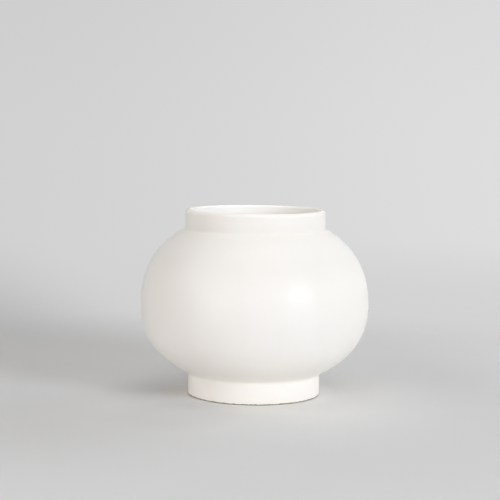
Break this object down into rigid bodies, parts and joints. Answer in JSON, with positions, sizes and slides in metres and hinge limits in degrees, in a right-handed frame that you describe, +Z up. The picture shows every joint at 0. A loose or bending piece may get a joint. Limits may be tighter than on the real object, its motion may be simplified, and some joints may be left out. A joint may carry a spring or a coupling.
{
  "type": "squat round vase",
  "caption": "Squat round ceramic vase with a wide belly, a short straight collar with a rounded lip, and a short straight foot ring.",
  "frame": {"origin": "on the vase's axis, on the ground that the foot ring stands on", "axes": "+Z up along the axis that every piece is turned about; X and Y are alike"},
  "size_m": [0.2, 0.2, 0.1625],
  "materials": {
    "body_glaze": "satin white glaze over stoneware",
    "foot_glaze": "the same satin white glaze, wiped off the ring that touches the ground"
  },
  "bodies": {
    "root": {"foot_ring": "foot_glaze", "lower_bowl": "body_glaze", "upper_bowl": "body_glaze", "neck_collar": "body_glaze"}
  },
  "joints": []
}
